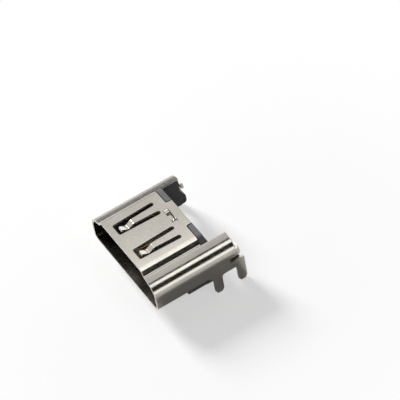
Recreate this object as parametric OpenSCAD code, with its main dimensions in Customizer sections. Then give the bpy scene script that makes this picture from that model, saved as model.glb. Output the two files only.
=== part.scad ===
// Board-mount digital video socket, reverse mounted: its wide face is towards the board, its narrow face up.
// Frame: X across the width, the mouth faces -Y, +Z up from the board plane.
// The origin is on the line of the front legs.
// Lengths named from the mouth are measured back from the mouth plane.

/* [Mouth] */
// Inner width of the mouth
mouth_w = 14; // [13.6:0.1:14.6]
// Inner height of the mouth
mouth_h = 4.55; // [4.4:0.05:4.9]
// Thickness of the shell's sheet
sheet = 0.3; // [0.25:0.01:0.32]

/* [Shell profile] */
// Width of the narrow face between its sharp corners
narrow_w = 9.2; // [8.8:0.1:9.6]
// Height of the slanted wall beside the narrow face
shoulder_drop = 0.75; // [0.65:0.05:0.9]
// Width that the slanted wall covers
shoulder_run = 0.6; // [0.5:0.05:0.7]
// Slope of the shoulder ledge in degrees
ledge_tilt = 20; // [12:1:22]
// Outer bend radius beside the wide face
corner_r = 0.85; // [0.7:0.05:0.95]
// Outer bend radius from the ledge to the side wall
shoulder_r = 2; // [1.6:0.05:2.2]
// Outer bend radius at the foot of the slanted wall
foot_r = 0.5; // [0.3:0.05:0.6]
// Outer bend radius beside the narrow face
crest_r = 0.8; // [0.6:0.05:0.9]

/* [Shell lengths from the mouth] */
// Rear edge of the narrow face
top_len = 8.5; // [8.4:0.1:8.8]
// Rear edge of the wide face
wide_len = 7.2; // [7:0.05:7.25]
// Rear edge of the shoulder ledges
wing_len = 11.1; // [11.05:0.05:11.3]
// Front end of the relief beside each front leg
relief_at = 6.85; // [6.7:0.05:6.95]
// Line of the front legs
front_leg_at = 8.2; // [8.1:0.05:8.3]

/* [Legs and retention] */
// Spacing from the front legs to the rear legs
leg_pitch = 3.23; // [3.1:0.01:3.3]
// Width of a leg
leg_w = 1.15; // [1:0.05:1.25]
// Reach of the legs below the board plane
leg_drop = 2.1; // [1.6:0.1:2.6]
// Length of the bevel on a leg's tip
leg_bevel = 0.45; // [0.2:0.05:0.6]
// Height of the arch between the legs above the wide face
arch_rise = 0.15; // [0:0.05:0.3]
// Lower edge of the side slit above the wide face
slit_low = 1.3; // [1.2:0.05:1.4]
// Height of the side slit
slit_h = 0.72; // [0.6:0.02:0.8]
// Straight length of the side slit in front of the ledge's end
slit_len = 0.7; // [0.6:0.05:0.9]
// Upper edge of a retention tab above the wide face
fold_top = 3; // [2.8:0.05:3.1]
// Outer bend radius of the folded retention tab
fold_r = 0.55; // [0.5:0.05:0.6]
// Distance from the centre to the free end of a retention tab
fold_end = 5.45; // [5.4:0.05:5.8]

/* [Spring fingers] */
// Width of a spring finger at its root
finger_w = 1.03; // [0.9:0.01:1.1]
// Width of a finger at its tip
finger_tip = 0.64; // [0.54:0.02:0.74]
// Width of the slot beside a finger
finger_slot = 0.58; // [0.46:0.02:0.6]
// Depth of the corner of a finger's bend below the face
finger_dip = 0.52; // [0.4:0.02:0.6]
// Bend radius of a finger on the middle of its sheet
finger_r = 0.45; // [0.35:0.05:0.5]
// Corner radius of a finger's window
window_r = 0.28; // [0.16:0.02:0.36]
// Distance from the centre to a finger of the narrow face
top_finger_x = 2.31; // [2.2:0.01:2.4]
// Rear end of the slots in the narrow face
top_finger_root = 6.2; // [6:0.05:6.3]
// Front edge of the windows in the narrow face
top_window = 0.8; // [0.7:0.05:0.9]
// Distance from the centre to a finger of the wide face
wide_finger_x = 2.6; // [2.5:0.01:2.7]
// Front end of the slots in the wide face
wide_finger_root = 2.1; // [2:0.05:2.2]
// Rear edge of the windows in the wide face
wide_window = 5.7; // [5.6:0.05:5.8]
// Gap of the seam in the wide face
seam_gap = 0.06; // [0.04:0.01:0.1]
// Half step of the dovetail seam across the centre
seam_step = 0.36; // [0.3:0.02:0.42]
// First slanted step of the seam from the mouth
seam_first = 1.35; // [1.2:0.05:1.5]
// Second slanted step of the seam from the mouth
seam_second = 3.45; // [3.3:0.05:3.6]
// Third slanted step of the seam from the mouth
seam_third = 5.85; // [5.7:0.05:6]
// Half length of a slanted step of the seam
seam_slant = 0.1; // [0.05:0.01:0.15]
// Offset of the locking bridge from the centre, towards the left seen from the mouth
bridge_x = 0.22; // [0:0.02:0.3]
// Width of the locking bridge pressed out of the narrow face
bridge_w = 2.3; // [2.2:0.05:2.4]
// Front edge of the locking bridge's opening
bridge_at = 6.76; // [6.72:0.02:6.84]
// Length of the locking bridge's opening
bridge_len = 0.68; // [0.6:0.02:0.72]
// Depth that the locking bridge is pressed in
bridge_dip = 0.5; // [0.4:0.02:0.54]
// Width that each slanted side of the locking bridge covers
bridge_run = 0.55; // [0.5:0.01:0.6]
// Bend radius of the locking bridge on the middle of its sheet
bridge_r = 0.45; // [0.3:0.05:0.5]
// Shear gap in front of and behind the locking bridge
bridge_gap = 0.06; // [0.04:0.01:0.08]

/* [Insulators] */
// Height of the wide face above the board plane
standoff = 0.45; // [0.4:0.05:0.6]
// Running clearance between neighbouring pieces
slip = 0.04; // [0.03:0.01:0.05]
// Width of the tongue
tongue_w = 11.4; // [11:0.1:11.8]
// Thickness of the tongue
tongue_t = 1.2; // [1.1:0.05:1.3]
// Height of the tongue's lower face above the wide face
tongue_z = 1.55; // [1.5:0.05:1.6]
// Recess of the tongue's tip behind the mouth
tongue_recess = 1.4; // [1.3:0.1:1.8]
// Front face of the housing block
block_at = 6.95; // [6.85:0.05:7]
// Rear face of the housing block
block_end = 8.5; // [8.45:0.05:8.5]
// Width of the joint between the housing and the tail comb
joint_gap = 0.07; // [0.05:0.01:0.1]
// Inner edge of the plastic tabs in the narrow face
tab_x = 2.2; // [2.1:0.05:2.4]
// Length of the plastic tabs in the narrow face
tab_len = 0.8; // [0.7:0.05:0.85]
// Front end of the standoff ribs
rib_at = 4.3; // [4.1:0.1:4.6]
// Front end of the plastic pads on the wide face
pad_at = 6.3; // [6.2:0.05:6.4]
// Inner edge of the standoff ribs
rib_x = 5.45; // [5.3:0.05:5.6]
// Inner face of the rear ears
ear_x = 5.2; // [5.15:0.05:5.3]
// Reach of the rear ears behind the shoulder ledges
ear_reach = 0.62; // [0.5:0.02:0.64]
// Drop of the ears' lower face below the wide face
ear_lift = 0.25; // [0.2:0.05:0.4]
// Height of the tail comb's wall above the wide face
comb_h = 4.2; // [3.9:0.05:4.3]
// Height of the tail comb's teeth above the wide face
tooth_h = 3; // [2.8:0.05:3.1]

/* [Contacts] */
// Spacing of the solder feet
tail_pitch = 0.5; // [0.48:0.01:0.52]
// Width of a contact
contact_w = 0.28; // [0.24:0.01:0.3]
// Thickness of a contact
contact_t = 0.2; // [0.16:0.01:0.22]
// Proud height of a contact on the tongue
contact_proud = 0.05; // [0.02:0.01:0.08]
// Rear end of the solder feet
foot_end = 9.67; // [9.5:0.01:9.8]
// Bend radius of the tails on their middle line
tail_r = 0.25; // [0.2:0.01:0.28]

/* [Hidden] */
$fn = 48;
tail_n = 19;
steps = 8;
eps = 0.05;
far = 20;
half_w = mouth_w / 2 + sheet;
tall = mouth_h + 2 * sheet;
foot_x = narrow_w / 2 + shoulder_run;
foot_z = tall - shoulder_drop;
edge_z = foot_z - (half_w - foot_x) * tan(ledge_tilt);
wing_x = foot_x + eps;
ear_end = wing_len + ear_reach;
fold_at = wing_len + 0.12;
fold_face = fold_at + fold_r - sheet;
comb_at = block_end + joint_gap;
comb_wall = 0.22;
leg_row = comb_at + comb_wall + slip / 2 + contact_t / 2;
hole = 0.03;
inner = sheet + slip;
outline = [
  [-half_w, 0], [half_w, 0], [half_w, edge_z], [foot_x, foot_z],
  [narrow_w / 2, tall], [-narrow_w / 2, tall], [-foot_x, foot_z], [-half_w, edge_z]
];
bends = [corner_r, corner_r, shoulder_r, foot_r, crest_r, crest_r, foot_r, shoulder_r];

function two(i) = i < 10 ? str("0", i) : str(i);
function contact_name(i) = str("contact_", two(i));

// Plane geometry
function back(m) = m - front_leg_at;
function unit(v) = v / norm(v);
function left(u) = [-u[1], u[0]];
function spin(v, a) = [v[0] * cos(a) - v[1] * sin(a), v[0] * sin(a) + v[1] * cos(a)];
function turn(a, b, c) =
  let (u = unit(b - a), v = unit(c - b)) atan2(u[0] * v[1] - u[1] * v[0], u * v);
function arc(a, b, c, r) =
  let (
    u = unit(b - a),
    t = turn(a, b, c),
    s = sign(t),
    m = b - u * r * tan(abs(t) / 2) + left(u) * r * s
  )
  [for (i = [0:steps]) m + spin(-left(u) * r * s, t * i / steps)];
function corner(a, b, c, r) = r > 0.001 && abs(turn(a, b, c)) > 0.5 ? arc(a, b, c, r) : [b];
function miter(a, b, c, d) =
  let (n = left(unit(b - a)), k = left(unit(c - b))) b + (n + k) * d / (1 + n * k);
function smooth(p, r) =
  let (n = len(p)) [for (i = [0:n - 1]) each corner(p[(i + n - 1) % n], p[i], p[(i + 1) % n], r[i])];
function inset(p, d) =
  let (n = len(p)) [for (i = [0:n - 1]) miter(p[(i + n - 1) % n], p[i], p[(i + 1) % n], d)];
function skin(d) =
  let (n = len(outline), p = inset(outline, d))
  smooth(p, [for (i = [0:n - 1])
    bends[i] - d * sign(turn(outline[(i + n - 1) % n], outline[i], outline[(i + 1) % n]))]);
function flip(p) = [for (i = [len(p) - 1:-1:0]) p[i]];

// One side of a bent strip: an open path moved to its left and rounded at each bend
function rail(p, r, d) =
  let (
    n = len(p) - 1,
    q = [for (i = [0:n])
      i == 0 ? p[0] + left(unit(p[1] - p[0])) * d
      : i == n ? p[n] + left(unit(p[n] - p[n - 1])) * d
      : miter(p[i - 1], p[i], p[i + 1], d)]
  )
  [for (i = [0:n])
    each i == 0 || i == n ? [q[i]]
      : corner(q[i - 1], q[i], q[i + 1], r == 0 ? 0 : r - d * sign(turn(p[i - 1], p[i], p[i + 1])))];
function ribbon(p, r, t) = concat(rail(p, r, -t / 2), flip(rail(p, r, t / 2)));

// Extrusions along Y, X and Z, with heights along Z from the board plane
module along_y(m0, m1) {
  translate([0, back(m1), standoff]) rotate([90, 0, 0]) linear_extrude(m1 - m0) children();
}
module along_x(x0, x1) {
  translate([x0, 0, 0]) rotate([90, 0, 90]) linear_extrude(x1 - x0) children();
}
module along_z(z0, z1) {
  translate([0, 0, z0]) linear_extrude(z1 - z0) children();
}
module block(x0, x1, m0, m1, z0, z1) {
  translate([x0, back(m0), z0]) cube([x1 - x0, m1 - m0, z1 - z0]);
}
module both() {
  children();
  mirror([1, 0, 0]) children();
}

// Formed sheet shell
module side_plate() {
  f = leg_w / 2;
  b = leg_bevel;
  c = leg_bevel * 0.6;
  low = -leg_drop;
  arch = standoff + arch_rise;
  top = standoff + slit_low;
  p = [
    [back(relief_at) + eps, top], [back(relief_at) + eps, standoff + 0.6],
    [-f, standoff], [-f, low + b], [-f + c, low], [f - c, low], [f, low + b],
    [f, arch], [leg_pitch - f, arch],
    [leg_pitch - f, low + b], [leg_pitch - f + c, low], [leg_pitch + f - c, low], [leg_pitch + f, low + b],
    [leg_pitch + f, top]
  ];
  r = [0, 0.2, 0.15, 0.1, 0.1, 0.1, 0.1, 0.4, 0.2, 0.1, 0.1, 0.1, 0.1, 0.12];
  along_x(half_w - sheet, half_w) polygon(smooth(p, r));
}

// Section of the side wall that folds in behind the ear, measured from the fold's axis
module fold_section() {
  z0 = slit_low + slit_h;
  translate([fold_r - half_w, 0]) intersection() {
    difference() {
      polygon(skin(0));
      polygon(skin(sheet));
    }
    translate([half_w - fold_r, z0]) square([far, fold_top - z0]);
  }
}

module retention_tab() {
  x = half_w - fold_r;
  translate([x, 0, 0]) along_y(wing_len - eps, fold_at) fold_section();
  translate([x, back(fold_at), standoff]) rotate_extrude(angle = 90) fold_section();
  translate([fold_end, back(fold_at), standoff]) rotate([90, 0, 90]) linear_extrude(x - fold_end) fold_section();
}

// Side view of a spring finger from its root to its flared tip, on the middle of the sheet
function finger_path(root, tip, s) = [
  [back(root) + s * eps, 0], [back(tip) + s * 1.75, 0], [back(tip) + s * 0.93, -finger_dip],
  [back(tip), -finger_dip * 0.1]
];

module finger(x, root, tip, p) {
  s = sign(root - tip);
  w = finger_w / 2;
  e = finger_tip / 2;
  y = back(tip);
  r = back(root) + s;
  plan = [[-e, y], [e, y], [w, back(root)], [w, r], [-w, r], [-w, back(root)]];
  intersection() {
    along_x(x - w, x + w) polygon(ribbon(p, finger_r, sheet));
    along_z(0, far) translate([x, 0]) polygon(smooth(plan, [0.12, 0.12, 0, 0, 0, 0]));
  }
}
module top_finger() {
  tip = top_window + 0.55;
  z = standoff + tall - sheet / 2;
  p = [for (v = finger_path(top_finger_root, tip, 1)) [v[0], z + v[1]]];
  finger(top_finger_x, top_finger_root, tip, p);
}
module wide_finger() {
  tip = wide_window - 0.55;
  z = standoff + sheet / 2;
  p = [for (v = finger_path(wide_finger_root, tip, -1)) [v[0], z - v[1]]];
  finger(wide_finger_x, wide_finger_root, tip, p);
}

// Plan of the opening round a finger: a window at the tip and a round-ended slot on each side
module finger_opening(x, root, window) {
  w = finger_w / 2 + finger_slot;
  e = finger_tip / 2 + finger_slot;
  a = back(window);
  b = back(root);
  translate([x, 0]) polygon(smooth([[-w, b], [-e, a], [e, a], [w, b]], [0, window_r, window_r, 0]));
  for (s = [-1, 1]) translate([x + s * (finger_w + finger_slot) / 2, back(root)]) circle(d = finger_slot);
}

module tab_notch(gap) {
  x0 = tab_x + gap;
  x1 = wing_x - gap;
  m0 = back(top_len - tab_len + gap);
  m1 = back(top_len + 1);
  polygon(smooth([[x0, m0], [x1, m0], [x1, m1], [x0, m1]], [0.3, 0, 0, 0]));
}

function seam_path() = [
  [seam_step, back(-1)],
  [seam_step, back(seam_first + seam_slant)], [-seam_step, back(seam_first - seam_slant)],
  [-seam_step, back(seam_second - seam_slant)], [seam_step, back(seam_second + seam_slant)],
  [seam_step, back(seam_third + seam_slant)], [-seam_step, back(seam_third - seam_slant)],
  [-seam_step, back(wide_len + 1)]
];

module shell_tube() {
  z1 = standoff + tall;
  difference() {
    along_y(0, wing_len) difference() {
      polygon(skin(0));
      polygon(skin(sheet));
    }
    block(-wing_x, wing_x, top_len, far, 0, far);
    block(-far, far, wide_len, far, 0, standoff + corner_r);
    both() block(half_w - corner_r, far, relief_at, far, 0, standoff + corner_r);
    along_z(z1 - sheet - eps, z1 + eps) both() {
      finger_opening(top_finger_x, top_finger_root, top_window);
      tab_notch(0);
    }
    along_z(standoff + foot_z - 2 * sheet, z1 + eps) both() intersection() {
      tab_notch(0);
      translate([narrow_w / 2 - crest_r, -far]) square([far, 2 * far]);
    }
    along_z(standoff - eps, standoff + sheet + eps) {
      both() finger_opening(wide_finger_x, wide_finger_root, wide_window);
      polygon(ribbon(seam_path(), 0, seam_gap));
    }
    translate([-bridge_x, 0, 0])
      block(-bridge_w / 2, bridge_w / 2, bridge_at, bridge_at + bridge_len, z1 - sheet - eps, z1 + eps);
  }
}

// Strap that is pressed in between two shears and stays joined at its sides
module locking_bridge() {
  end = bridge_w / 2 + eps;
  a = bridge_w / 2 - bridge_r * tan(atan2(bridge_dip, bridge_run) / 2) - slip / 2;
  b = a - bridge_run;
  z = tall - sheet / 2;
  low = z - bridge_dip;
  p = [[-end, z], [-a, z], [-b, low], [b, low], [a, z], [end, z]];
  translate([-bridge_x, 0, 0])
    along_y(bridge_at + bridge_gap, bridge_at + bridge_len - bridge_gap) polygon(ribbon(p, bridge_r, sheet));
}

module shell() {
  color([0.76, 0.74, 0.71]) difference() {
    union() {
      shell_tube();
      locking_bridge();
      both() {
        side_plate();
        retention_tab();
        top_finger();
        wide_finger();
      }
    }
    both() along_x(half_w - 2 * sheet, half_w + eps) {
      c = standoff + slit_low + slit_h / 2;
      translate([back(wing_len - slit_len), c - slit_h / 2]) square([far, slit_h]);
      translate([back(wing_len - slit_len), c]) circle(d = slit_h);
    }
  }
}

// Moulded housing: block, tongue, board plate, standoff ribs and the tabs that close the shell's notches
function row_of(i) = i % 2;
function beam_z(i) =
  standoff + tongue_z
    + (row_of(i) == 1 ? contact_t / 2 - contact_proud : tongue_t - contact_t / 2 + contact_proud);
function contact_x(i) = (i - (tail_n + 1) / 2) * tail_pitch;

module beam_channels(m0, m1) {
  for (i = [1:tail_n]) {
    z = beam_z(i);
    low = row_of(i) == 1 ? z - contact_t / 2 - contact_proud - eps : z - contact_t / 2 - hole;
    high = row_of(i) == 1 ? z + contact_t / 2 + hole : z + contact_t / 2 + contact_proud + eps;
    w = contact_w / 2 + hole;
    block(contact_x(i) - w, contact_x(i) + w, m0, m1, low, high);
  }
}

module tongue() {
  z0 = standoff + tongue_z;
  z1 = z0 + tongue_t;
  n = back(tongue_recess);
  along_x(-tongue_w / 2, tongue_w / 2)
    polygon([
      [n, z0 + 0.3], [n + 0.25, z0], [back(block_at + eps), z0],
      [back(block_at + eps), z1], [n + 0.25, z1], [n, z1 - 0.3]
    ]);
}

module board_plate() {
  x1 = half_w - sheet - slip;
  m1 = back(block_end);
  plan = [
    [0, back(wide_len + slip)], [tab_x + 0.1, back(wide_len + slip)], [tab_x + 0.1, back(pad_at)],
    [rib_x, back(pad_at)], [rib_x, back(rib_at) + 0.35], [rib_x + 0.35, back(rib_at)],
    [x1 - 0.06, back(rib_at)], [x1 - 0.06, back(relief_at)], [x1, back(relief_at)], [x1, m1], [0, m1]
  ];
  along_z(0, standoff - slip) both() polygon(plan);
  along_z(0, standoff + 1.5) both() translate([0, back(wide_len + slip)])
    square([x1, block_end - wide_len - slip]);
}

module housing() {
  z1 = standoff + tall;
  color([0.16, 0.16, 0.17]) difference() {
    union() {
      along_y(block_at, block_end) polygon(skin(inner));
      intersection() {
        along_y(top_len - tab_len, block_end) polygon(skin(0.02));
        along_z(standoff + foot_z - 0.5, far) both() tab_notch(slip);
      }
      tongue();
      board_plate();
    }
    beam_channels(tongue_recess + 0.3, block_end + eps);
    pocket = bridge_w / 2 + 3 * slip;
    translate([-bridge_x, 0, 0])
      block(-pocket, pocket, block_at - eps, bridge_at + bridge_len, z1 - sheet - bridge_dip - 3 * slip, z1);
    along_x(-far, far) translate([back(block_end), 0]) rotate(45) square(0.12, center = true);
  }
}

// Tail comb behind the housing: wall with a slot for each tail, teeth between the tails and two rear ears
module ear() {
  x1 = half_w - sheet - slip;
  low = standoff - ear_lift;
  neck = back(wing_len - slip);
  side = [
    [back(comb_at), low], [back(ear_end), low], [back(ear_end), standoff + slit_low - 0.35],
    [neck, standoff + slit_low + 0.85], [neck, far], [back(comb_at), far]
  ];
  plan = [[0, back(comb_at)], [x1, back(comb_at)], [x1, back(ear_end)], [0, back(ear_end)]];
  intersection() {
    along_x(ear_x, half_w) polygon(smooth(side, [0, 0.42, 0.15, 0.1, 0, 0]));
    along_z(0, far) polygon(smooth(plan, [0, 0, 0.2, 0]));
    union() {
      along_y(comb_at, ear_end) polygon(skin(inner));
      block(ear_x, x1, comb_at, ear_end, 0, standoff + corner_r + 0.5);
    }
  }
}

module tail_comb() {
  w = tail_pitch / 2 - contact_w / 2 - hole;
  h = contact_w / 2 + hole;
  reach = tail_r + contact_t / 2 + hole;
  color([0.2, 0.2, 0.21]) difference() {
    union() {
      both() ear();
      intersection() {
        along_y(comb_at, comb_at + comb_wall) polygon(skin(inner));
        block(-ear_x - eps, ear_x + eps, comb_at, comb_at + comb_wall, 0, standoff + comb_h);
      }
      block(-ear_x - eps, ear_x + eps, comb_at, comb_at + comb_wall, 0, standoff + 1);
      for (i = [0:tail_n]) {
        x = contact_x(i) + tail_pitch / 2;
        block(x - w, x + w, comb_at + comb_wall - eps, leg_row + contact_t / 2, 0.4, standoff + tooth_h);
      }
    }
    for (i = [1:tail_n]) {
      x = contact_x(i);
      block(x - h, x + h, 0, comb_at + comb_wall + eps, beam_z(i) - reach, beam_z(i) + contact_t / 2 + hole);
    }
    along_x(-far, far) translate([back(comb_at), 0]) rotate(45) square(0.12, center = true);
  }
}

// Contacts: a flat beam on the tongue, a tail down the comb and a foot on the board
module contact(i) {
  z = beam_z(i);
  p = [
    [back(tongue_recess + 0.4), z], [back(leg_row), z], [back(leg_row), contact_t / 2],
    [back(foot_end), contact_t / 2]
  ];
  color([0.83, 0.69, 0.36])
    along_x(contact_x(i) - contact_w / 2, contact_x(i) + contact_w / 2) polygon(ribbon(p, tail_r, contact_t));
}

shell();
housing();
tail_comb();
for (i = [1:tail_n])
  contact(i);
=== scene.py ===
"""Studio scene of a board-mount digital video socket with a formed shell and moulded insulators."""

from __future__ import annotations

import logging
import math
from dataclasses import dataclass, field
from enum import Enum
from typing import Any, Iterable, Protocol

import bmesh
import bpy
from mathutils import Matrix, Vector
from mathutils.bvhtree import BVHTree

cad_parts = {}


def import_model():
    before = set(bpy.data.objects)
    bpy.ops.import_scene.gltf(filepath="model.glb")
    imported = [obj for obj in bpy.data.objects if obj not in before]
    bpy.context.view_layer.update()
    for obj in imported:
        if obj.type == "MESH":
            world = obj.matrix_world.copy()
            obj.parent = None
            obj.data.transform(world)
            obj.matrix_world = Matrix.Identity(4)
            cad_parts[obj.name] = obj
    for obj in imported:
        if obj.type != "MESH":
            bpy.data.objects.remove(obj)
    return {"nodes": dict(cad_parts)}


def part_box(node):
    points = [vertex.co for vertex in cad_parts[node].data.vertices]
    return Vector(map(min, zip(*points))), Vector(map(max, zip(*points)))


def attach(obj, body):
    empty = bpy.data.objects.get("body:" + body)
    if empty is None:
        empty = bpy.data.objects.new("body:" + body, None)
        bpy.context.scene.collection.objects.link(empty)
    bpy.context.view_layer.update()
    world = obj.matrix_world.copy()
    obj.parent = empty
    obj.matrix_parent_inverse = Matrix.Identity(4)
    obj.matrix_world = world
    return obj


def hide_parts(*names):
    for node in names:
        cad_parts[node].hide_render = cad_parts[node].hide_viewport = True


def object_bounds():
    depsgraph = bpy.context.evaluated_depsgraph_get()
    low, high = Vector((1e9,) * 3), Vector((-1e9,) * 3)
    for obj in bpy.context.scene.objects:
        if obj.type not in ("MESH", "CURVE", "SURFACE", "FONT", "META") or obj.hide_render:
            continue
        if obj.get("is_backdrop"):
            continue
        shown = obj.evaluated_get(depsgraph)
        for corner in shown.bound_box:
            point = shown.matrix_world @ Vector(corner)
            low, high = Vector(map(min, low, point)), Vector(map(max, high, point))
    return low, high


LOG = logging.getLogger("video_socket")
MM = 0.001
IMAGE_PX = 400
BODY = "root"

Tree = bpy.types.NodeTree
Socket = bpy.types.NodeSocket


class RowSide(Enum):
    """The two faces of the tongue that carry contacts."""

    WIDE = "wide"
    NARROW = "narrow"


class ShellFace(Enum):
    """Kinds of faces on the formed shell, in the order of its finishes."""

    OUTSIDE = 0
    SHEARED = 1
    # Faces in the mouth, dressed in a darker colour as painted shade
    INSIDE = 2


class Ray(Enum):
    """Kinds of rays that see the backdrop at full white."""

    CAMERA = "Is Camera Ray"
    GLOSSY = "Is Glossy Ray"
    TRANSMISSION = "Is Transmission Ray"


class Finish(Protocol):
    """A surface of a real material."""

    def build(self) -> bpy.types.Material:
        """Builds the material."""


def linear(code: str) -> tuple[float, float, float, float]:
    """Turns an sRGB hex colour into linear values.

    Args:
        code: Colour such as "C6C0B9".

    Returns:
        Linear red, green, blue and an alpha of 1.
    """
    parts = [int(code[i : i + 2], 16) / 255 for i in (0, 2, 4)]
    red, green, blue = [p / 12.92 if p <= 0.04045 else ((p + 0.055) / 1.055) ** 2.4 for p in parts]
    return red, green, blue, 1.0


def add(
    tree: Tree, kind: str, settings: dict[str | int, Any] | None = None, **links: Socket
) -> bpy.types.Node:
    """Adds a node with its settings, input values and incoming links.

    Args:
        tree: Tree that receives the node.
        kind: Node type.
        settings: Attributes of the node, and input values where a key is a number or an input.
        links: Input index as "i0", "i1" and so on, with the output socket that feeds it.

    Returns:
        The new node.
    """
    node = tree.nodes.new(kind)
    for key, value in (settings or {}).items():
        if isinstance(key, int) or key in node.inputs:
            node.inputs[key].default_value = value
        else:
            setattr(node, key, value)
    for key, socket in links.items():
        tree.links.new(socket, node.inputs[int(key[1:])])
    return node


def new_material(name: str) -> tuple[bpy.types.Material, Tree, bpy.types.Node]:
    """Makes an empty node material.

    Args:
        name: Name of the real material.

    Returns:
        The material, its tree and its output node.
    """
    material = bpy.data.materials.new(name)
    material.use_nodes = True
    material.node_tree.nodes.clear()
    return material, material.node_tree, add(material.node_tree, "ShaderNodeOutputMaterial")


def seen_rays(tree: Tree) -> Socket:
    """Picks the rays that look at a backdrop rather than gather light from it.

    Args:
        tree: Tree of a backdrop's material or of the world.

    Returns:
        A socket that is 1 for camera, glossy and transmission rays.
    """
    rays = add(tree, "ShaderNodeLightPath").outputs
    camera, glossy, transmission = (rays[kind.value] for kind in Ray)
    either = {"operation": "MAXIMUM"}
    two = add(tree, "ShaderNodeMath", either, i0=camera, i1=glossy).outputs[0]
    return add(tree, "ShaderNodeMath", either, i0=two, i1=transmission).outputs[0]


@dataclass(frozen=True)
class SatinNickelSteel:
    """Cold-rolled steel sheet with a satin nickel plate.

    It gives the eye a warm grey mirror that is slightly frosted, with a faint grain along the
    rolling direction.
    """

    name: str = "satin_nickel_steel"
    light: str = "B8B4AC"
    deep: str = "ACA8A0"
    roughness: float = 0.17
    gloss_spread: tuple[float, float] = (-0.03, 0.05)
    grain_mm: float = 0.16
    grain_range: tuple[float, float] = (0.3, 0.7)
    grain_share: float = 0.45
    rolling_share: float = 0.3
    cloud_mm: float = 3.5
    tone_range: tuple[float, float] = (0.45, 0.95)
    tooth: float = 0.03
    tooth_mm: float = 0.01

    def relief(self, tree: Tree, place: Socket, grain: Socket) -> Socket:
        """Leaves the sheet as flat as it was rolled, with only its grain."""
        return grain

    def build(self) -> bpy.types.Material:
        """Builds the material.

        Returns:
            A metal whose tone and gloss vary with the rolling grain.
        """
        material, tree, out = new_material(self.name)
        place = add(tree, "ShaderNodeTexCoord").outputs["Object"]
        # The real grain is near 0.02 mm, drawn coarser here so that it shows in the render
        size = self.grain_mm * MM
        scale = (1 / size, self.rolling_share / size, 1 / size)
        rolled = add(tree, "ShaderNodeMapping", {"Scale": scale}, i0=place).outputs[0]
        fine = {"Scale": 1.0, "Detail": 3.0, "Roughness": 0.6}
        grain = add(tree, "ShaderNodeTexNoise", fine, i0=rolled).outputs[0]
        broad = {"Scale": 1 / (self.cloud_mm * MM), "Detail": 2.0}
        cloud = add(tree, "ShaderNodeTexNoise", broad, i0=place).outputs[0]
        joined = {"operation": "MULTIPLY_ADD", 1: self.grain_share}
        mottle = add(tree, "ShaderNodeMath", joined, i0=grain, i2=cloud).outputs[0]
        tones = {"From Min": self.tone_range[0], "From Max": self.tone_range[1]}
        tone = add(tree, "ShaderNodeMapRange", tones, i0=mottle).outputs[0]
        colours = {"data_type": "RGBA", 6: linear(self.deep), 7: linear(self.light)}
        colour = add(tree, "ShaderNodeMix", colours, i0=tone).outputs[2]
        frost = {
            "From Min": self.grain_range[0],
            "From Max": self.grain_range[1],
            "To Min": self.roughness + self.gloss_spread[0],
            "To Max": self.roughness + self.gloss_spread[1],
        }
        gloss = add(tree, "ShaderNodeMapRange", frost, i0=grain).outputs[0]
        depth = {"Strength": self.tooth, "Distance": self.tooth_mm * MM}
        bump = add(tree, "ShaderNodeBump", depth, i3=grain).outputs[0]
        shader = add(tree, "ShaderNodeBsdfPrincipled", {"Metallic": 1.0})
        tree.links.new(colour, shader.inputs["Base Color"])
        tree.links.new(gloss, shader.inputs["Roughness"])
        tree.links.new(self.relief(tree, place, bump), shader.inputs["Normal"])
        tree.links.new(shader.outputs[0], out.inputs[0])
        return material


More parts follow.
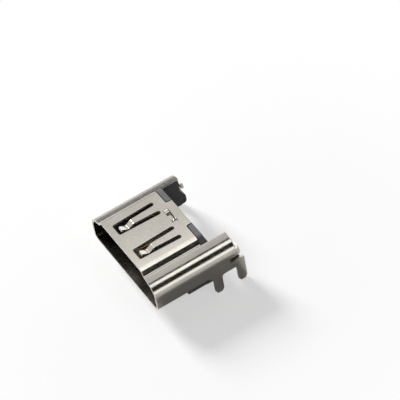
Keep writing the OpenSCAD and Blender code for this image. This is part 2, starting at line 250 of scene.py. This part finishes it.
@dataclass(frozen=True)
class PressedNickelSteel(SatinNickelSteel):
    """The plate outside the shell, where the press left a faint crown, a crest and a soft foot.

    It gives the eye a top that brightens towards its crest, and bands that fade into one another.
    """

    crown_half_mm: float = 4.6
    crown_slope: float = 0.026
    crest_mm: tuple[float, float] = (4.36, 4.65)
    crest_slope: float = 0.364
    foot_mm: tuple[float, float] = (4.92, 5.36)
    foot_rise_mm: float = 0.08
    top_mm: tuple[float, float] = (2.5, 3.5)

    def crown(self, tree: Tree, across: Socket) -> Socket:
        """Works out the square of the distance from the middle of the top.

        Args:
            tree: Tree of the material.
            across: Distance from the middle plane.

        Returns:
            The square, even beyond the edge of the crown.
        """
        limit = {"operation": "MINIMUM", 1: self.crown_half_mm * MM}
        inner = add(tree, "ShaderNodeMath", limit, i0=across).outputs[0]
        times = {"operation": "MULTIPLY"}
        return add(tree, "ShaderNodeMath", times, i0=inner, i1=inner).outputs[0]

    def bends(self, tree: Tree, across: Socket) -> Socket:
        """Works out the height of the crest and of the foot of the step.

        Args:
            tree: Tree of the material.
            across: Distance from the middle plane.

        Returns:
            Height in metres.
        """
        near, far = (edge * MM for edge in self.crest_mm)
        fall = {"From Min": near, "From Max": far, "To Min": 1.0, "To Max": 0.0}
        left = add(tree, "ShaderNodeMapRange", fall, i0=across).outputs[0]
        times = {"operation": "MULTIPLY"}
        crest = add(tree, "ShaderNodeMath", times, i0=left, i1=left).outputs[0]
        low, high = (edge * MM for edge in self.foot_mm)
        rise = {"From Min": low, "From Max": high, "To Max": self.foot_rise_mm * MM}
        smooth = {"interpolation_type": "SMOOTHSTEP", **rise}
        foot = add(tree, "ShaderNodeMapRange", smooth, i0=across).outputs[0]
        drop = {"operation": "MULTIPLY_ADD", 1: self.crest_slope * (far - near) / 2}
        return add(tree, "ShaderNodeMath", drop, i0=crest, i2=foot).outputs[0]

    def relief(self, tree: Tree, place: Socket, grain: Socket) -> Socket:
        """Bends the normals as the press bent the sheet.

        Args:
            tree: Tree of the material.
            place: Object coordinates.
            grain: Normals with the rolling grain.

        Returns:
            Normals with the grain and the press marks.
        """
        parts = add(tree, "ShaderNodeSeparateXYZ", None, i0=place).outputs
        across = add(tree, "ShaderNodeMath", {"operation": "ABSOLUTE"}, i0=parts[0]).outputs[0]
        square, bends = self.crown(tree, across), self.bends(tree, across)
        sag = {"operation": "MULTIPLY_ADD", 1: -self.crown_slope / (2 * self.crown_half_mm * MM)}
        height = add(tree, "ShaderNodeMath", sag, i0=square, i2=bends).outputs[0]
        bottom, top = (edge * MM for edge in self.top_mm)
        ends = {"From Min": bottom, "From Max": top}
        share = add(tree, "ShaderNodeMapRange", ends, i0=parts[2]).outputs[0]
        times = {"operation": "MULTIPLY"}
        shown = add(tree, "ShaderNodeMath", times, i0=height, i1=share).outputs[0]
        full = {"Strength": 1.0, "Distance": 1.0}
        return add(tree, "ShaderNodeBump", full, i3=shown, i4=grain).outputs[0]


@dataclass(frozen=True)
class MouldedPolymer:
    """Glass-filled liquid crystal polymer, injection moulded.

    It gives the eye a soft charcoal with fine flow mottling and a broad dull gloss.
    """

    name: str = "moulded_grey_polymer"
    light: str = "58585C"
    deep: str = "4C4C50"
    roughness: float = 0.46
    gloss_spread: tuple[float, float] = (-0.06, 0.08)
    speck_mm: float = 0.12
    speck_share: float = 0.6
    flow_mm: float = 1.6
    tone_range: tuple[float, float] = (0.5, 1.1)
    tooth: float = 0.2
    tooth_mm: float = 0.008
    refraction: float = 1.55

    def build(self) -> bpy.types.Material:
        """Builds the material.

        Returns:
            A dull dark plastic with fibre specks and flow marks.
        """
        material, tree, out = new_material(self.name)
        place = add(tree, "ShaderNodeTexCoord").outputs["Object"]
        # Fibre specks are near 0.01 mm, drawn coarser here so that they show in the render
        fine = {"Scale": 1 / (self.speck_mm * MM), "Detail": 4.0, "Roughness": 0.65}
        speck = add(tree, "ShaderNodeTexNoise", fine, i0=place).outputs[0]
        broad = {"Scale": 1 / (self.flow_mm * MM), "Detail": 2.0, "Distortion": 0.8}
        flow = add(tree, "ShaderNodeTexNoise", broad, i0=place).outputs[0]
        joined = {"operation": "MULTIPLY_ADD", 1: self.speck_share}
        mottle = add(tree, "ShaderNodeMath", joined, i0=speck, i2=flow).outputs[0]
        tones = {"From Min": self.tone_range[0], "From Max": self.tone_range[1]}
        tone = add(tree, "ShaderNodeMapRange", tones, i0=mottle).outputs[0]
        colours = {"data_type": "RGBA", 6: linear(self.deep), 7: linear(self.light)}
        colour = add(tree, "ShaderNodeMix", colours, i0=tone).outputs[2]
        low, high = (self.roughness + change for change in self.gloss_spread)
        frost = {"To Min": low, "To Max": high}
        gloss = add(tree, "ShaderNodeMapRange", frost, i0=speck).outputs[0]
        depth = {"Strength": self.tooth, "Distance": self.tooth_mm * MM}
        bump = add(tree, "ShaderNodeBump", depth, i3=speck).outputs[0]
        shader = add(tree, "ShaderNodeBsdfPrincipled", {"IOR": self.refraction})
        tree.links.new(colour, shader.inputs["Base Color"])
        tree.links.new(gloss, shader.inputs["Roughness"])
        tree.links.new(bump, shader.inputs["Normal"])
        tree.links.new(shader.outputs[0], out.inputs[0])
        return material


@dataclass(frozen=True)
class PlatedContactAlloy:
    """Copper alloy strip, gold plated where it mates and matte tin plated on its tail.

    It gives the eye yellow metal on the tongue that turns to pale frosted silver behind the
    housing.
    """

    name: str = "plated_contact_alloy"
    gold: str = "AE9058"
    tin: str = "D9D8D4"
    gold_roughness: float = 0.16
    tin_roughness: float = 0.34
    change_y_mm: float = 0.25
    change_half_mm: float = 0.05
    grain_mm: float = 0.08
    dullest: float = 0.82
    tooth: float = 0.15
    tooth_mm: float = 0.006

    def build(self) -> bpy.types.Material:
        """Builds the material.

        Returns:
            A metal that changes from gold to tin along Y.
        """
        material, tree, out = new_material(self.name)
        place = add(tree, "ShaderNodeTexCoord").outputs["Object"]
        along = add(tree, "ShaderNodeSeparateXYZ", None, i0=place).outputs[1]
        start = (self.change_y_mm - self.change_half_mm) * MM
        end = (self.change_y_mm + self.change_half_mm) * MM
        ends = {"From Min": start, "From Max": end}
        change = add(tree, "ShaderNodeMapRange", ends, i0=along).outputs[0]
        # The grain of the plating is near 0.005 mm, drawn coarser here so that it shows
        fine = {"Scale": 1 / (self.grain_mm * MM), "Detail": 3.0}
        grain = add(tree, "ShaderNodeTexNoise", fine, i0=place).outputs[0]
        metals = {"data_type": "RGBA", 6: linear(self.gold), 7: linear(self.tin)}
        metal = add(tree, "ShaderNodeMix", metals, i0=change).outputs[2]
        dull = add(tree, "ShaderNodeMapRange", {"To Min": self.dullest}, i0=grain).outputs[0]
        darken = {"data_type": "RGBA", "blend_type": "MULTIPLY", 0: 1.0}
        colour = add(tree, "ShaderNodeMix", darken, i6=metal, i7=dull).outputs[2]
        frost = {"To Min": self.gold_roughness, "To Max": self.tin_roughness}
        gloss = add(tree, "ShaderNodeMapRange", frost, i0=change).outputs[0]
        depth = {"Strength": self.tooth, "Distance": self.tooth_mm * MM}
        bump = add(tree, "ShaderNodeBump", depth, i3=grain).outputs[0]
        shader = add(tree, "ShaderNodeBsdfPrincipled", {"Metallic": 1.0})
        tree.links.new(colour, shader.inputs["Base Color"])
        tree.links.new(gloss, shader.inputs["Roughness"])
        tree.links.new(bump, shader.inputs["Normal"])
        tree.links.new(shader.outputs[0], out.inputs[0])
        return material


@dataclass(frozen=True)
class StudioCard:
    """Painted card of the studio: a flat matte tone."""

    name: str
    tone: str

    def build(self) -> bpy.types.Material:
        """Builds the material.

        Returns:
            A matte paint.
        """
        material, tree, out = new_material(self.name)
        shader = add(tree, "ShaderNodeBsdfDiffuse", {"Color": linear(self.tone)})
        tree.links.new(shader.outputs[0], out.inputs[0])
        return material


@dataclass(frozen=True)
class WhiteSweep:
    """Matte white paper: white to the eye and in reflections, duller in the light it scatters.

    It keeps the shadow of the object, pale to the camera, and turns to an even white further out.
    """

    name: str = "matte_white_paper"
    seen: float = 1.0
    scattered: float = 0.85
    near_mm: float = 10.0
    far_mm: float = 45.0
    lift: float = 0.55

    def evenness(self, tree: Tree) -> Socket:
        """Works out the share of even white in what rays see of the paper.

        Args:
            tree: Tree of the material.

        Returns:
            A share that grows to 1 away from the object, and is higher to the camera near it.
        """
        place = add(tree, "ShaderNodeTexCoord").outputs["Object"]
        away = add(tree, "ShaderNodeVectorMath", {"operation": "LENGTH"}, i0=place).outputs["Value"]
        camera = add(tree, "ShaderNodeLightPath").outputs[Ray.CAMERA.value]
        lifted = {"operation": "MULTIPLY", 1: self.lift}
        least = add(tree, "ShaderNodeMath", lifted, i0=camera).outputs[0]
        ends = {"From Min": self.near_mm * MM, "From Max": self.far_mm * MM}
        smooth = {"interpolation_type": "SMOOTHSTEP", **ends}
        return add(tree, "ShaderNodeMapRange", smooth, i0=away, i3=least).outputs[0]

    def build(self) -> bpy.types.Material:
        """Builds the material.

        Returns:
            A diffuse white that keeps the shadow of the object.
        """
        material, tree, out = new_material(self.name)
        dull, white = ((level,) * 3 + (1.0,) for level in (self.scattered, self.seen))
        plain = add(tree, "ShaderNodeBsdfDiffuse", {"Color": dull}).outputs[0]
        bright = add(tree, "ShaderNodeBsdfDiffuse", {"Color": white}).outputs[0]
        even = add(tree, "ShaderNodeEmission", {"Strength": self.seen}).outputs[0]
        share = self.evenness(tree)
        view = add(tree, "ShaderNodeMixShader", None, i0=share, i1=bright, i2=even).outputs[0]
        both = add(tree, "ShaderNodeMixShader", None, i0=seen_rays(tree), i1=plain, i2=view)
        tree.links.new(both.outputs[0], out.inputs[0])
        return material


def mesh_object(name: str, mesh: bpy.types.Mesh) -> bpy.types.Object:
    """Puts a mesh in the scene.

    Args:
        name: Name of the object.
        mesh: Its mesh.

    Returns:
        The new object, at the origin.
    """
    mesh.name = name
    obj = bpy.data.objects.new(name, mesh)
    bpy.context.scene.collection.objects.link(obj)
    return obj


def free_to_mesh(work: bmesh.types.BMesh, name: str) -> bpy.types.Mesh:
    """Turns an edit mesh into a plain one and frees it.

    Args:
        work: Edit mesh.
        name: Name of the plain mesh.

    Returns:
        The plain mesh.
    """
    mesh = bpy.data.meshes.new(name)
    work.to_mesh(mesh)
    work.free()
    return mesh


def plain_mesh(obj: bpy.types.Object) -> None:
    """Bakes an object's modifiers into its mesh and removes them.

    Args:
        obj: Object with live modifiers.
    """
    graph = bpy.context.evaluated_depsgraph_get()
    mesh = bpy.data.meshes.new_from_object(obj.evaluated_get(graph), depsgraph=graph)
    obj.modifiers.clear()
    obj.data = mesh


def wear(obj: bpy.types.Object, *materials: bpy.types.Material) -> None:
    """Gives a piece its materials, in the order of its face indices.

    Args:
        obj: Piece to dress.
        materials: Its materials.
    """
    for material in materials:
        obj.data.materials.append(material)


@dataclass
class FinishedNode:
    """A piece of the solid model with its bends shaded smooth and its edges eased."""

    node: str
    name: str
    slot: str
    finishes: tuple[Finish, ...]
    ease_mm: float
    ease_rings: int = 2
    ease_margin_deg: float = 5.0
    crease_deg: float = 30.0
    join_mm: float = 0.0005
    flat_deg: float = 0.4
    obj: bpy.types.Object | None = field(default=None, init=False)

    def sort_faces(self, work: bmesh.types.BMesh) -> None:
        """Leaves every face with the first finish."""

    def trim(self, work: bmesh.types.BMesh) -> None:
        """Leaves the shape of the solid as it is."""

    def weld(self, source: bpy.types.Mesh) -> bpy.types.Mesh:
        """Joins the loose triangles of a solid into flat faces.

        Args:
            source: Mesh of the solid in metres.

        Returns:
            A joined copy in millimetres.
        """
        work = bmesh.new()
        work.from_mesh(source)
        bmesh.ops.scale(work, vec=(1 / MM,) * 3, verts=work.verts)
        bmesh.ops.remove_doubles(work, verts=work.verts, dist=self.join_mm)
        self.sort_faces(work)
        bmesh.ops.dissolve_limit(
            work,
            angle_limit=math.radians(self.flat_deg),
            verts=work.verts,
            edges=work.edges,
            delimit={"MATERIAL"},
        )
        self.trim(work)
        for face in work.faces:
            face.smooth = True
        mesh = free_to_mesh(work, self.name)
        mesh.set_sharp_from_angle(angle=math.radians(self.crease_deg))
        return mesh

    def ease_edges(self) -> None:
        """Rounds the sharp edges of the piece, and bakes that into its mesh."""
        ease = self.obj.modifiers.new("eased_edges", "BEVEL")
        ease.width = self.ease_mm
        ease.segments = self.ease_rings
        ease.limit_method = "ANGLE"
        ease.angle_limit = math.radians(self.crease_deg + self.ease_margin_deg)
        ease.use_clamp_overlap = True
        ease.harden_normals = True
        even = self.obj.modifiers.new("even_normals", "WEIGHTED_NORMAL")
        even.keep_sharp = True
        plain_mesh(self.obj)

    def build(self, source: bpy.types.Object) -> bpy.types.Object:
        """Builds, dresses and seats the piece.

        Args:
            source: Object of the solid.

        Returns:
            The finished piece.
        """
        self.obj = mesh_object(self.name, self.weld(source.data))
        wear(self.obj, *(finish.build() for finish in self.finishes))
        self.ease_edges()
        self.obj.data.transform(Matrix.Scale(MM, 4))
        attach(self.obj, BODY)
        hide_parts(self.node)
        return self.obj


@dataclass
class FormedShell(FinishedNode):
    """The sheet shell: plated outside, with painted shade and a duller gloss in the mouth, and bare
    where it was sheared.
    """

    sheet_mm: float = 0.3
    sheet_slack: float = 1.25
    probe_mm: float = 0.001
    axis_z_mm: float = 3.0
    axis_half_mm: float = 4.0
    tube_low_mm: float = 0.45
    tube_end_mm: float = 0.3

    def faces_axis(self, face: bmesh.types.BMFace, middle: Vector) -> bool:
        """Tells whether a face looks into the mouth.

        Args:
            face: Face of the shell in millimetres.
            middle: Its middle.

        Returns:
            True where its normal points to the middle of the mouth.
        """
        near = max(-self.axis_half_mm, min(self.axis_half_mm, middle.x))
        inward = Vector((near - middle.x, 0.0, self.axis_z_mm - middle.z))
        in_tube = middle.y < self.tube_end_mm and middle.z > self.tube_low_mm
        return in_tube and face.normal.dot(inward) > 0

    def sort_faces(self, work: bmesh.types.BMesh) -> None:
        """Marks the faces that look into the mouth and those that the shear cut.

        Args:
            work: Shell in millimetres, as joined triangles.
        """
        work.normal_update()
        tree = BVHTree.FromBMesh(work)
        for face in work.faces:
            middle = face.calc_center_median()
            start = middle - face.normal * self.probe_mm
            depth = tree.ray_cast(start, -face.normal)[3]
            kind = ShellFace.OUTSIDE
            if depth is None or depth > self.sheet_slack * self.sheet_mm:
                kind = ShellFace.SHEARED
            # Faces that look into the mouth get the darker colour, which is painted shade
            elif self.faces_axis(face, middle):
                kind = ShellFace.INSIDE
            face.material_index = kind.value


@dataclass
class TabbedHousing(FinishedNode):
    """The insulator: its tabs stand in cut-outs of the shell, with a gap that shows as a dark line."""

    tab_base_mm: float = 5.25
    tab_front_mm: float = -0.47
    tab_rear_mm: float = 0.3
    tab_near_mm: float = 2.2
    tab_far_mm: float = 4.3
    gap_mm: float = 0.09

    def on_tab(self, place: Vector) -> bool:
        """Tells whether a point belongs to a tab."""
        behind = place.y >= self.tab_front_mm and abs(place.x) >= self.tab_near_mm
        return behind and place.z >= self.tab_base_mm

    def trim(self, work: bmesh.types.BMesh) -> None:
        """Draws the front and inner sides of the tabs back from the shell.

        Args:
            work: Housing in millimetres, as flat faces.
        """
        deep = self.tab_rear_mm - self.tab_front_mm
        wide = self.tab_far_mm - self.tab_near_mm
        for place in (vert.co for vert in work.verts if self.on_tab(vert.co)):
            outward = self.gap_mm * (self.tab_far_mm - abs(place.x)) / wide
            place.y += self.gap_mm * (self.tab_rear_mm - place.y) / deep
            place.x += math.copysign(outward, place.x)


@dataclass
class ContactRow:
    """One row of contact strips: beams on the tongue, tails down the comb, feet on the board."""

    side: RowSide
    nodes: list[str]
    finish: Finish
    strip_mm: float = 0.2
    foot_mm: float = 0.76
    pitch_mm: float = 1.0
    radius_mm: float = 0.25
    radius_steps: int = 8
    ease_mm: float = 0.03
    ease_steps: int = 2
    crease_deg: float = 40.0

    def sizes(self) -> dict[str, float]:
        """Reads the strip's sizes from the boxes of its nodes.

        Returns:
            Input names with their values in metres.
        """
        low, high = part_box(self.nodes[0])
        thick = self.strip_mm * MM
        return {
            "First X": (low.x + high.x) / 2,
            "Pitch": self.pitch_mm * MM,
            "Front Y": low.y,
            "Tail Y": high.y - self.foot_mm * MM,
            "Foot Y": high.y,
            "Beam Z": high.z - thick / 2,
            "Foot Z": low.z + thick / 2,
            "Width": high.x - low.x,
            "Thickness": thick,
            "Bend": self.radius_mm * MM,
            "Ease": self.ease_mm * MM,
        }

    def path(self, tree: Tree, given: bpy.types.bpy_prop_collection) -> Socket:
        """Builds the bent line along the middle of a strip.

        Args:
            tree: Tree of the row.
            given: Inputs of the tree.

        Returns:
            A curve from the tip of the beam to the end of the foot.
        """
        corners = [
            ("Front Y", "Beam Z"),
            ("Tail Y", "Beam Z"),
            ("Tail Y", "Foot Z"),
            ("Foot Y", "Foot Z"),
        ]
        line = add(tree, "GeometryNodeMeshLine", {"Count": len(corners)}).outputs[0]
        index = add(tree, "GeometryNodeInputIndex").outputs[0]
        pick = add(tree, "GeometryNodeIndexSwitch", {"data_type": "VECTOR"}, i0=index)
        while len(pick.index_switch_items) < len(corners):
            pick.index_switch_items.new()
        for i, (y, z) in enumerate(corners):
            point = add(tree, "ShaderNodeCombineXYZ", None, i1=given[y], i2=given[z])
            tree.links.new(point.outputs[0], pick.inputs[i + 1])
        place = add(tree, "GeometryNodeSetPosition", None, i0=line, i2=pick.outputs[0])
        curve = add(tree, "GeometryNodeMeshToCurve", None, i0=place.outputs[0]).outputs[0]
        corner = {"mode": "POLY", "Count": self.radius_steps, "Limit Radius": True}
        bent = add(tree, "GeometryNodeFilletCurve", corner, i0=curve)
        tree.links.new(given["Bend"], bent.inputs["Radius"])
        upright = {"mode": "FREE", "Normal": (1.0, 0.0, 0.0)}
        return add(tree, "GeometryNodeSetCurveNormal", upright, i0=bent.outputs[0]).outputs[0]

    def strip(self, tree: Tree, given: bpy.types.bpy_prop_collection) -> Socket:
        """Sweeps the section of a strip along its line.

        Args:
            tree: Tree of the row.
            given: Inputs of the tree.

        Returns:
            The mesh of one strip in the middle plane.
        """
        sides = {"i0": given["Width"], "i1": given["Thickness"]}
        outline = add(tree, "GeometryNodeCurvePrimitiveQuadrilateral", None, **sides).outputs[0]
        corner = {"mode": "POLY", "Count": self.ease_steps, "Limit Radius": True}
        section = add(tree, "GeometryNodeFilletCurve", corner, i0=outline)
        tree.links.new(given["Ease"], section.inputs["Radius"])
        path = self.path(tree, given)
        swept = add(tree, "GeometryNodeCurveToMesh", {"Fill Caps": True}, i0=path)
        tree.links.new(section.outputs[0], swept.inputs["Profile Curve"])
        return swept.outputs[0]

    def tree(self, names: Iterable[str]) -> bpy.types.GeometryNodeTree:
        """Builds the node tree that sweeps and repeats the strip.

        Args:
            names: Names of the strip's sizes.

        Returns:
            A tree with named inputs for the strip's sizes, in metres.
        """
        tree = bpy.data.node_groups.new(f"{self.side.value}_contact_strips", "GeometryNodeTree")
        sockets = tree.interface
        sockets.new_socket("Geometry", in_out="OUTPUT", socket_type="NodeSocketGeometry")
        for name in names:
            sockets.new_socket(name, in_out="INPUT", socket_type="NodeSocketFloat")
        sockets.new_socket("Count", in_out="INPUT", socket_type="NodeSocketInt")
        sockets.new_socket("Material", in_out="INPUT", socket_type="NodeSocketMaterial")
        given = add(tree, "NodeGroupInput").outputs
        strip = self.strip(tree, given)
        start = add(tree, "ShaderNodeCombineXYZ", None, i0=given["First X"]).outputs[0]
        step = add(tree, "ShaderNodeCombineXYZ", None, i0=given["Pitch"]).outputs[0]
        row = add(tree, "GeometryNodeMeshLine", None, i0=given["Count"], i2=start, i3=step)
        copies = add(tree, "GeometryNodeInstanceOnPoints", None, i0=row.outputs[0], i2=strip)
        real = add(tree, "GeometryNodeRealizeInstances", None, i0=copies.outputs[0])
        dressed = add(tree, "GeometryNodeSetMaterial", None, i0=real.outputs[0])
        tree.links.new(given["Material"], dressed.inputs["Material"])
        add(tree, "NodeGroupOutput", None, i0=dressed.outputs[0])
        return tree

    def build(self) -> bpy.types.Object:
        """Builds, dresses and seats the row.

        Returns:
            One mesh with all strips of the row.
        """
        material = self.finish.build()
        obj = mesh_object(f"{self.side.value}_contact_row", bpy.data.meshes.new("row"))
        sizes = self.sizes()
        tree = self.tree(sizes)
        sweep = obj.modifiers.new("strips", "NODES")
        sweep.node_group = tree
        values = {**sizes, "Count": len(self.nodes), "Material": material}
        for item in tree.interface.items_tree:
            if item.item_type == "SOCKET" and item.in_out == "INPUT":
                sweep[item.identifier] = values[item.name]
        plain_mesh(obj)
        for face in obj.data.polygons:
            face.use_smooth = True
        obj.data.set_sharp_from_angle(angle=math.radians(self.crease_deg))
        if not obj.data.materials:
            wear(obj, material)
        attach(obj, BODY)
        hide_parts(*self.nodes)
        return obj


@dataclass
class StudioFloor:
    """Pale floor at the level of the leg tips."""

    level: float
    half_m: float = 2.0
    finish: WhiteSweep = WhiteSweep()

    def build(self) -> bpy.types.Object:
        """Builds the floor.

        Returns:
            A flat sheet, marked as stage.
        """
        work = bmesh.new()
        bmesh.ops.create_grid(work, x_segments=1, y_segments=1, size=self.half_m)
        bmesh.ops.translate(work, vec=(0, 0, self.level), verts=work.verts)
        obj = mesh_object("floor", free_to_mesh(work, "floor"))
        wear(obj, self.finish.build())
        obj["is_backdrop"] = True
        return obj


@dataclass
class SoftBox:
    """A rectangular lamp that faces the object, at a distance and with sides in metres."""

    name: str
    towards: tuple[float, float, float]
    distance: float
    width: float
    height: float
    radiance: float
    along_y: bool = False

    def build(self) -> bpy.types.Object:
        """Builds the lamp.

        Returns:
            An area lamp whose power gives the stated radiance.
        """
        lamp = bpy.data.lights.new(self.name, "AREA")
        lamp.shape = "RECTANGLE"
        lamp.size = self.width
        lamp.size_y = self.height
        lamp.energy = self.radiance * math.pi * self.width * self.height
        obj = bpy.data.objects.new(self.name, lamp)
        bpy.context.scene.collection.objects.link(obj)
        direction = Vector(self.towards).normalized()
        turn = direction.to_track_quat("Z", "Y")
        if self.along_y:
            side = Vector((0.0, 1.0, 0.0)).cross(direction).normalized()
            axes = Matrix((side, direction.cross(side), direction))
            turn = axes.transposed().to_quaternion()
        obj.location = direction * self.distance
        obj.rotation_mode = "QUATERNION"
        obj.rotation_quaternion = turn
        return obj


@dataclass
class Flag:
    """A card that photographers place beside metal to darken one side, with sizes in metres."""

    name: str
    towards: tuple[float, float, float]
    distance: float
    width: float
    height: float
    finish: StudioCard

    def build(self) -> bpy.types.Object:
        """Builds the card.

        Returns:
            A flat sheet that faces the object, marked as stage.
        """
        work = bmesh.new()
        bmesh.ops.create_grid(work, x_segments=1, y_segments=1, size=0.5)
        bmesh.ops.scale(work, vec=(self.width, self.height, 1), verts=work.verts)
        direction = Vector(self.towards).normalized()
        turn = direction.to_track_quat("Z", "Y").to_matrix().to_4x4()
        place = Matrix.Translation(direction * self.distance) @ turn
        bmesh.ops.transform(work, matrix=place, verts=work.verts)
        obj = mesh_object(self.name, free_to_mesh(work, self.name))
        wear(obj, self.finish.build())
        obj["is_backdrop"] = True
        return obj


@dataclass
class Room:
    """A white surround that camera, metal and glass see, and a dim fill on matte surfaces."""

    surround: str = "FFFFFF"
    fill: float = 0.05

    def build(self) -> bpy.types.World:
        """Builds the world.

        Returns:
            The scene's world.
        """
        world = bpy.data.worlds.new("studio_room")
        world.use_nodes = True
        tree = world.node_tree
        tree.nodes.clear()
        level = add(tree, "ShaderNodeMapRange", {"To Min": self.fill}, i0=seen_rays(tree))
        colour = {"Color": linear(self.surround)}
        back = add(tree, "ShaderNodeBackground", colour, i1=level.outputs[0])
        add(tree, "ShaderNodeOutputWorld", None, i0=back.outputs[0])
        bpy.context.scene.world = world
        return world


@dataclass
class Studio:
    """The room, its floor, the lamps and the cards beside the metal."""

    floor_level: float
    black: StudioCard = StudioCard("matte_black_card", "16130C")
    grey: StudioCard = StudioCard("matte_grey_card", "808080")

    def lamps(self) -> list[SoftBox]:
        """Lists the lamps.

        Returns:
            The key, the lamp that the top mirrors, and those that edges and tips mirror.
        """
        return [
            SoftBox("key_box", (-0.81, -0.20, 0.55), 0.6, 0.2, 0.2, radiance=40.0),
            SoftBox(
                "top_box", (-0.3047, 0.27, 0.9132), 0.6, 0.341, 0.24, radiance=0.95, along_y=True
            ),
            SoftBox("edge_box", (0.4815, 0.27, 0.834), 0.5, 0.12, 0.158, radiance=2.6),
            SoftBox("rim_box", (0.95, 0.27, 0.13), 0.6, 0.3, 0.2, radiance=1.0),
            SoftBox("tip_box", (-0.603, 0.766, 0.22), 0.6, 0.2, 0.2, radiance=1.2),
        ]

    def cards(self) -> list[Flag]:
        """Lists the cards.

        Returns:
            A black one behind the edge lamp, and a grey one beside the far ledge.
        """
        return [
            Flag("edge_flag", (0.625, 0.27, 0.732), 0.62, 0.5, 0.70, self.black),
            Flag("side_card", (-0.9167, 0.27, 0.2934), 0.6, 0.3, 0.217, self.grey),
        ]

    def build(self) -> None:
        """Builds the floor, the room, the lamps and the cards."""
        StudioFloor(self.floor_level).build()
        Room().build()
        for item in (*self.lamps(), *self.cards()):
            item.build()


@dataclass
class PhotoCamera:
    """The photograph's viewpoint, in millimetres and unit vectors of the part's frame."""

    place_mm: tuple[float, float, float] = (157.758, -68.056, 201.935)
    right: tuple[float, float, float] = (0.53270, 0.83692, -0.12566)
    down: tuple[float, float, float] = (0.59377, -0.47540, -0.64918)
    away: tuple[float, float, float] = (-0.60305, 0.27120, -0.75019)
    focal_px: float = 2233.4
    sensor_mm: float = 36.0
    clip_m: tuple[float, float] = (0.01, 20.0)

    def build(self) -> bpy.types.Object:
        """Builds the camera and makes it the scene's own.

        Returns:
            The camera object.
        """
        data = bpy.data.cameras.new("photo_camera")
        data.sensor_width = self.sensor_mm
        data.lens = self.focal_px / IMAGE_PX * self.sensor_mm
        data.clip_start, data.clip_end = self.clip_m
        obj = bpy.data.objects.new("photo_camera", data)
        bpy.context.scene.collection.objects.link(obj)
        turn = Matrix((self.right, -Vector(self.down), -Vector(self.away))).transposed()
        obj.matrix_world = Matrix.Translation(Vector(self.place_mm) * MM) @ turn.to_4x4()
        bpy.context.scene.camera = obj
        return obj


@dataclass
class VideoSocket:
    """The whole part: shell, insulators and two rows of contacts."""

    nodes: dict[str, bpy.types.Object]
    sheet_ease_mm: float = 0.02
    mould_ease_mm: float = 0.03
    plate: Finish = PressedNickelSteel()
    sheared: Finish = SatinNickelSteel(
        name="sheared_steel_edge",
        light="D6D1C9",
        deep="BEB8B0",
        roughness=0.36,
        grain_mm=0.1,
        cloud_mm=1.2,
        tooth=0.2,
    )
    # Darker plate colour for the faces in the mouth: painted shade where the mouth lies in shadow
    painted_mouth_shade: Finish = SatinNickelSteel(
        name="satin_nickel_steel_painted_shade", light="5C5852", deep="4A4641", roughness=0.24
    )
    housing_polymer: Finish = MouldedPolymer()
    comb_polymer: Finish = MouldedPolymer("moulded_comb_polymer", "28282D", "1F1F23")
    lower_alloy: Finish = PlatedContactAlloy()
    upper_alloy: Finish = PlatedContactAlloy("plated_contact_alloy_upper")

    def build(self) -> list[bpy.types.Object]:
        """Builds, dresses and seats every piece.

        Returns:
            The pieces, in the order in which they were built.
        """
        contacts = sorted(name for name in self.nodes if name.startswith("contact_"))
        sheet = (self.plate, self.sheared, self.painted_mouth_shade)
        grey, dark = (self.housing_polymer,), (self.comb_polymer,)
        ease = self.mould_ease_mm
        bodies = [
            FormedShell("shell", "shield_shell", "shell_steel", sheet, self.sheet_ease_mm),
            TabbedHousing("housing", "contact_housing", "housing_plastic", grey, ease),
            FinishedNode("tail_comb", "tail_guide", "comb_plastic", dark, ease),
        ]
        rows = [
            ContactRow(RowSide.WIDE, contacts[0::2], self.lower_alloy),
            ContactRow(RowSide.NARROW, contacts[1::2], self.upper_alloy),
        ]
        pieces = [body.build(self.nodes[body.node]) for body in bodies]
        return pieces + [row.build() for row in rows]


def main() -> None:
    """Loads the solids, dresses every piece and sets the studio."""
    logging.basicConfig(level=logging.INFO, format="%(name)s: %(message)s")
    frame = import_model()
    solid_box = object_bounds()
    bpy.context.scene.view_settings.view_transform = "Standard"
    PhotoCamera().build()
    for piece in VideoSocket(frame["nodes"]).build():
        LOG.info("%s: %d faces", piece.name, len(piece.data.polygons))
    Studio(solid_box[0].z).build()


if __name__ == "__main__":
    main()
